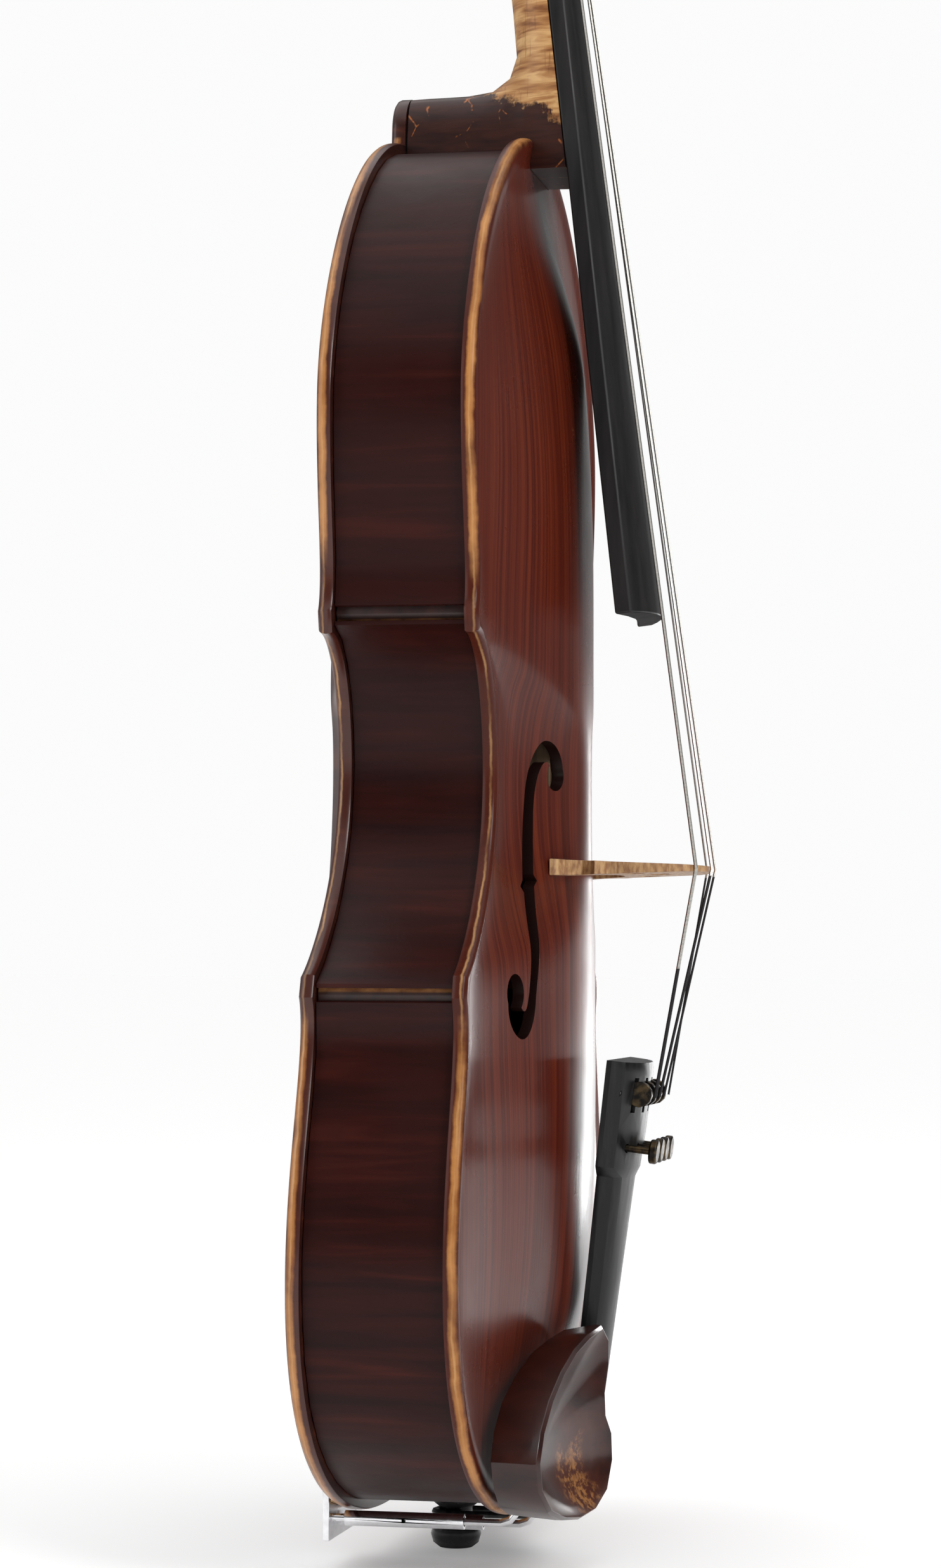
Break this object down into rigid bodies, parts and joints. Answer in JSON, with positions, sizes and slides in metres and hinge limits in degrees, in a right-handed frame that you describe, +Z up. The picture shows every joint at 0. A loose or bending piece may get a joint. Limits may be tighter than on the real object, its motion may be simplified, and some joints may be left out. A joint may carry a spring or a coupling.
{
  "type": "viola",
  "caption": "Full size bowed string instrument with arched plates, scroll head, turning pegs, levered fine tuners and a clamped chinrest.",
  "frame": {"origin": "middle of the body's lower edge, in the plane where the belly meets the ribs", "axes": "+Z up along the body towards the scroll, +X towards the treble side, -Y out of the belly"},
  "size_m": [0.236, 0.1158, 0.6642],
  "materials": {
    "spruce_varnished": "glossy red-brown varnish",
    "maple_varnished": "glossy dark red-brown varnish",
    "maple_bare": "bare polished flamed maple",
    "inner_wood": "bare",
    "ebony": "satin",
    "maple_bridge": "bare",
    "chinrest_wood": "glossy dark red-brown varnish",
    "black_composite": "glossy",
    "tail_gut": "satin",
    "brass": "worn plating",
    "steel": "wound steel",
    "chrome": "polished",
    "cork": "cork"
  },
  "bodies": {
    "root": {"belly_plate": "spruce_varnished", "back_plate": "maple_varnished", "rib_lower_treble": "maple_varnished", "rib_lower_bass": "maple_varnished", "rib_centre_treble": "maple_varnished", "rib_centre_bass": "maple_varnished", "rib_upper_treble": "maple_varnished", "rib_upper_bass": "maple_varnished", "corner_block_lower_treble": "inner_wood", "corner_block_lower_bass": "inner_wood", "corner_block_upper_treble": "inner_wood", "corner_block_upper_bass": "inner_wood", "end_block": "inner_wood", "top_block": "inner_wood", "lining_belly_lower_treble": "inner_wood", "lining_belly_lower_bass": "inner_wood", "lining_belly_centre_treble": "inner_wood", "lining_belly_centre_bass": "inner_wood", "lining_belly_upper_treble": "inner_wood", "lining_belly_upper_bass": "inner_wood", "lining_back_lower_treble": "inner_wood", "lining_back_lower_bass": "inner_wood", "lining_back_centre_treble": "inner_wood", "lining_back_centre_bass": "inner_wood", "lining_back_upper_treble": "inner_wood", "lining_back_upper_bass": "inner_wood", "bass_bar": "inner_wood", "sound_post": "inner_wood", "neck": "maple_bare", "fingerboard": "ebony", "nut": "ebony", "saddle": "ebony", "end_button": "ebony", "bridge": "maple_bridge", "tailpiece": "black_composite", "tail_gut": "tail_gut", "tuner_pin": "steel", "string_c": "steel", "string_g": "steel", "string_d": "steel", "string_a": "steel", "chinrest": "chinrest_wood", "cork_belly": "cork", "clamp_bracket": "chrome"},
    "peg_c": {"peg_c": "ebony"},
    "peg_g": {"peg_g": "ebony"},
    "peg_d": {"peg_d": "ebony"},
    "peg_a": {"peg_a": "ebony"},
    "lever_c": {"tuner_lever_c": "brass"},
    "lever_g": {"tuner_lever_g": "brass"},
    "lever_d": {"tuner_lever_d": "brass"},
    "lever_a": {"tuner_lever_a": "brass"},
    "screw_c": {"tuner_screw_c": "brass"},
    "screw_g": {"tuner_screw_g": "brass"},
    "screw_d": {"tuner_screw_d": "brass"},
    "screw_a": {"tuner_screw_a": "brass"},
    "barrel_near": {"clamp_barrel_near": "chrome"},
    "barrel_far": {"clamp_barrel_far": "chrome"},
    "jaw": {"clamp_jaw": "chrome", "cork_back": "cork"}
  },
  "joints": [
    {"name": "peg_c_turn", "type": "hinge", "parent": "root", "child": "peg_c", "pos_m": [0, 0.01873, 0.56572], "axis": [-1, 0, 0], "continuous": true},
    {"name": "peg_a_turn", "type": "hinge", "parent": "root", "child": "peg_a", "pos_m": [0, 0.02379, 0.57984], "axis": [1, 0, 0], "continuous": true},
    {"name": "peg_g_turn", "type": "hinge", "parent": "root", "child": "peg_g", "pos_m": [0, 0.02885, 0.59396], "axis": [-1, 0, 0], "continuous": true},
    {"name": "peg_d_turn", "type": "hinge", "parent": "root", "child": "peg_d", "pos_m": [0, 0.03391, 0.60808], "axis": [1, 0, 0], "continuous": true},
    {"name": "screw_c_turn", "type": "hinge", "parent": "root", "child": "screw_c", "pos_m": [-0.0141, -0.02707, 0.10717], "axis": [0, 0.9931, 0.1171], "range_deg": [0, 1440]},
    {"name": "screw_g_turn", "type": "hinge", "parent": "root", "child": "screw_g", "pos_m": [-0.0047, -0.02707, 0.10717], "axis": [0, 0.9931, 0.1171], "range_deg": [0, 1440]},
    {"name": "screw_d_turn", "type": "hinge", "parent": "root", "child": "screw_d", "pos_m": [0.0047, -0.02707, 0.10717], "axis": [0, 0.9931, 0.1171], "range_deg": [0, 1440]},
    {"name": "screw_a_turn", "type": "hinge", "parent": "root", "child": "screw_a", "pos_m": [0.0141, -0.02707, 0.10717], "axis": [0, 0.9931, 0.1171], "range_deg": [0, 1440]},
    {"name": "lever_c_tilt", "type": "hinge", "parent": "root", "child": "lever_c", "pos_m": [-0.0141, -0.03143, 0.12277], "axis": [1, 0, 0], "range_deg": [0, 9]},
    {"name": "lever_g_tilt", "type": "hinge", "parent": "root", "child": "lever_g", "pos_m": [-0.0047, -0.03143, 0.12277], "axis": [1, 0, 0], "range_deg": [0, 9]},
    {"name": "lever_d_tilt", "type": "hinge", "parent": "root", "child": "lever_d", "pos_m": [0.0047, -0.03143, 0.12277], "axis": [1, 0, 0], "range_deg": [0, 9]},
    {"name": "lever_a_tilt", "type": "hinge", "parent": "root", "child": "lever_a", "pos_m": [0.0141, -0.03143, 0.12277], "axis": [1, 0, 0], "range_deg": [0, 9]},
    {"name": "barrel_near_turn", "type": "hinge", "parent": "root", "child": "barrel_near", "pos_m": [-0.048, 0.0249, 0.00192], "axis": [0, 1, 0], "range_deg": [0, 1800]},
    {"name": "barrel_far_turn", "type": "hinge", "parent": "root", "child": "barrel_far", "pos_m": [-0.02, 0.0249, -0.00228], "axis": [0, 1, 0], "range_deg": [0, 1800]},
    {"name": "jaw_slide", "type": "slide", "parent": "root", "child": "jaw", "axis": [0, 1, 0], "range_m": [0, 0.006]}
  ],
  "couplings": [
    {"joint": "lever_c_tilt", "follows": "screw_c_turn", "ratio": 0.00625},
    {"joint": "lever_g_tilt", "follows": "screw_g_turn", "ratio": 0.00625},
    {"joint": "lever_d_tilt", "follows": "screw_d_turn", "ratio": 0.00625},
    {"joint": "lever_a_tilt", "follows": "screw_a_turn", "ratio": 0.00625},
    {"joint": "barrel_near_turn", "follows": "jaw_slide", "rad_per_m": 5236},
    {"joint": "barrel_far_turn", "follows": "jaw_slide", "rad_per_m": 5236}
  ]
}
